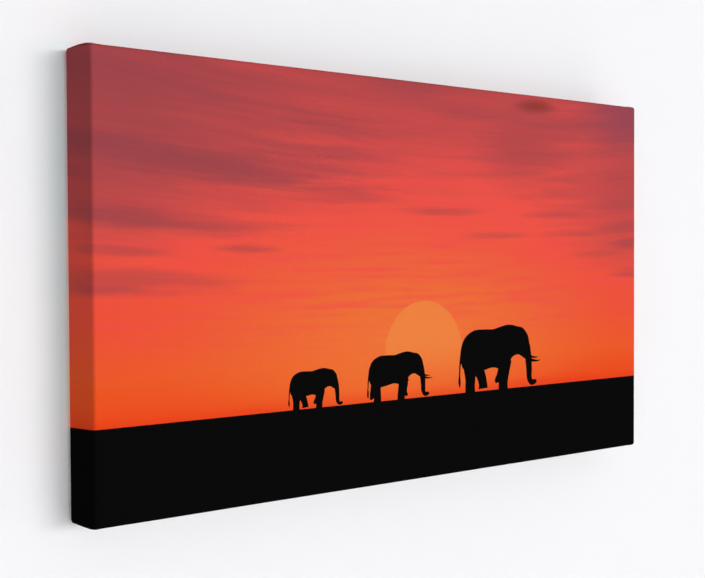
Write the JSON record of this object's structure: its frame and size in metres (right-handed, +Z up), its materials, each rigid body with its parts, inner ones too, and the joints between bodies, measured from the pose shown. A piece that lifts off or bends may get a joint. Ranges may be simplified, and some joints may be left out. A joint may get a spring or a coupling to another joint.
{
  "type": "stretched canvas",
  "caption": "Printed gallery-wrapped canvas on a keyed wooden stretcher frame, with ring hangers and wall bumpers on the back.",
  "frame": {"origin": "on the wall that the canvas hangs on, behind the middle of the picture", "axes": "+X to the right as the picture is seen, +Y into the wall, +Z up"},
  "size_m": [0.601, 0.043, 0.341],
  "materials": {
    "printed_canvas": "matte",
    "bar_wood": "satin",
    "key_wood": "satin",
    "staple_wire": "satin",
    "hanger_plate": "satin",
    "screw_plate": "satin",
    "bumper_rubber": "matte"
  },
  "bodies": {
    "frame": {"canvas": "printed_canvas", "top_bar": "bar_wood", "bottom_bar": "bar_wood", "left_bar": "bar_wood", "right_bar": "bar_wood", "top_staples": "staple_wire", "bottom_staples": "staple_wire", "left_staples": "staple_wire", "right_staples": "staple_wire", "left_hanger_strap": "hanger_plate", "right_hanger_strap": "hanger_plate", "left_hanger_screw": "screw_plate", "right_hanger_screw": "screw_plate", "left_wall_bumper": "bumper_rubber", "right_wall_bumper": "bumper_rubber"},
    "left_ring": {"left_hanger_ring": "hanger_plate"},
    "right_ring": {"right_hanger_ring": "hanger_plate"},
    "top_key_left": {"top_bar_key_left": "key_wood"},
    "top_key_right": {"top_bar_key_right": "key_wood"},
    "bottom_key_left": {"bottom_bar_key_left": "key_wood"},
    "bottom_key_right": {"bottom_bar_key_right": "key_wood"},
    "left_key_upper": {"left_bar_key_upper": "key_wood"},
    "left_key_lower": {"left_bar_key_lower": "key_wood"},
    "right_key_upper": {"right_bar_key_upper": "key_wood"},
    "right_key_lower": {"right_bar_key_lower": "key_wood"}
  },
  "joints": [
    {"name": "left_ring_swing", "type": "hinge", "parent": "frame", "child": "left_ring", "pos_m": [-0.271, -0.0024, 0.1], "axis": [1, 0, 0], "range_deg": [0, 175]},
    {"name": "right_ring_swing", "type": "hinge", "parent": "frame", "child": "right_ring", "pos_m": [0.271, -0.0024, 0.1], "axis": [1, 0, 0], "range_deg": [0, 175]},
    {"name": "top_key_left_pull", "type": "slide", "parent": "frame", "child": "top_key_left", "axis": [0, 0, -1], "range_m": [0, 0.023]},
    {"name": "top_key_right_pull", "type": "slide", "parent": "frame", "child": "top_key_right", "axis": [0, 0, -1], "range_m": [0, 0.023]},
    {"name": "bottom_key_left_pull", "type": "slide", "parent": "frame", "child": "bottom_key_left", "axis": [0, 0, 1], "range_m": [0, 0.023]},
    {"name": "bottom_key_right_pull", "type": "slide", "parent": "frame", "child": "bottom_key_right", "axis": [0, 0, 1], "range_m": [0, 0.023]},
    {"name": "left_key_upper_pull", "type": "slide", "parent": "frame", "child": "left_key_upper", "axis": [1, 0, 0], "range_m": [0, 0.023]},
    {"name": "left_key_lower_pull", "type": "slide", "parent": "frame", "child": "left_key_lower", "axis": [1, 0, 0], "range_m": [0, 0.023]},
    {"name": "right_key_upper_pull", "type": "slide", "parent": "frame", "child": "right_key_upper", "axis": [-1, 0, 0], "range_m": [0, 0.023]},
    {"name": "right_key_lower_pull", "type": "slide", "parent": "frame", "child": "right_key_lower", "axis": [-1, 0, 0], "range_m": [0, 0.023]}
  ]
}
